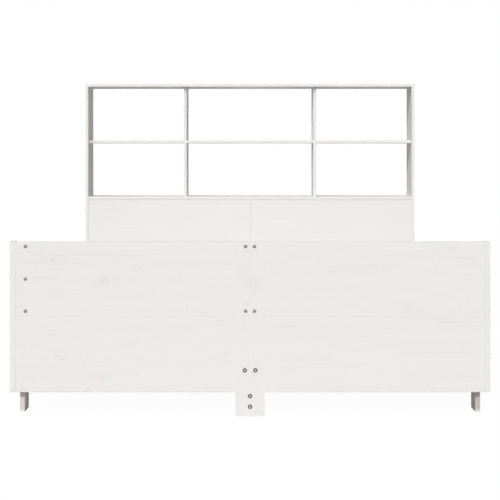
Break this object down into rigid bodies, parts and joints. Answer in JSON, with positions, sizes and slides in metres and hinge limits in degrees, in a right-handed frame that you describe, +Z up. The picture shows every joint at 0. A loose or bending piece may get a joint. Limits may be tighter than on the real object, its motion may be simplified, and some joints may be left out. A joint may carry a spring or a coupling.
{
  "type": "bed frame",
  "caption": "Double bed frame of white painted pine boards, with a bookcase headboard of open compartments, a slatted base and an upright plate in the middle of the footboard.",
  "frame": {"origin": "middle of the bed's footprint, on the floor", "axes": "+X across the bed, to the right when looking from the foot; +Y along the bed, from foot to head; +Z up"},
  "size_m": [1.461, 2.253, 1.109],
  "materials": {
    "painted_pine": "satin white paint over pine",
    "dowel_wood": "bare beech",
    "screw_zinc": "zinc plated",
    "bolt_steel": "nickel plated"
  },
  "bodies": {
    "root": {"footboard_upper_left": "painted_pine", "footboard_upper_right": "painted_pine", "footboard_lower_left": "painted_pine", "footboard_lower_right": "painted_pine", "foot_centre_plate": "painted_pine", "foot_centre_cleat": "painted_pine", "foot_centre_block": "painted_pine", "foot_end_batten_left": "painted_pine", "foot_end_batten_right": "painted_pine", "foot_corner_cleat_left": "painted_pine", "foot_corner_cleat_right": "painted_pine", "side_rail_left": "painted_pine", "side_rail_right": "painted_pine", "leg_foot_left": "painted_pine", "leg_foot_right": "painted_pine", "leg_head_left": "painted_pine", "leg_head_right": "painted_pine", "ledger_left": "painted_pine", "ledger_right": "painted_pine", "centre_beam": "painted_pine", "beam_leg_foot": "painted_pine", "beam_leg_head": "painted_pine", "head_centre_block": "painted_pine", "head_corner_cleat_left": "painted_pine", "head_corner_cleat_right": "painted_pine", "slat_01": "painted_pine", "slat_02": "painted_pine", "slat_03": "painted_pine", "slat_04": "painted_pine", "slat_05": "painted_pine", "slat_06": "painted_pine", "slat_07": "painted_pine", "slat_08": "painted_pine", "slat_09": "painted_pine", "slat_10": "painted_pine", "slat_11": "painted_pine", "slat_12": "painted_pine", "slat_13": "painted_pine", "slat_14": "painted_pine", "bookcase_side_left": "painted_pine", "bookcase_side_right": "painted_pine", "bookcase_top": "painted_pine", "bookcase_shelf": "painted_pine", "bookcase_bottom": "painted_pine", "divider_upper_left": "painted_pine", "divider_upper_right": "painted_pine", "divider_lower_left": "painted_pine", "divider_lower_right": "painted_pine", "bookcase_centre_divider": "painted_pine", "head_panel_upper_left": "painted_pine", "head_panel_upper_right": "painted_pine", "head_panel_lower_left": "painted_pine", "head_panel_lower_right": "painted_pine", "front_screws": "screw_zinc", "end_screws": "screw_zinc", "frame_screws": "screw_zinc", "slat_screws": "screw_zinc", "plate_bolts": "bolt_steel", "barrel_nuts": "bolt_steel", "bookcase_dowels": "dowel_wood"}
  },
  "joints": []
}
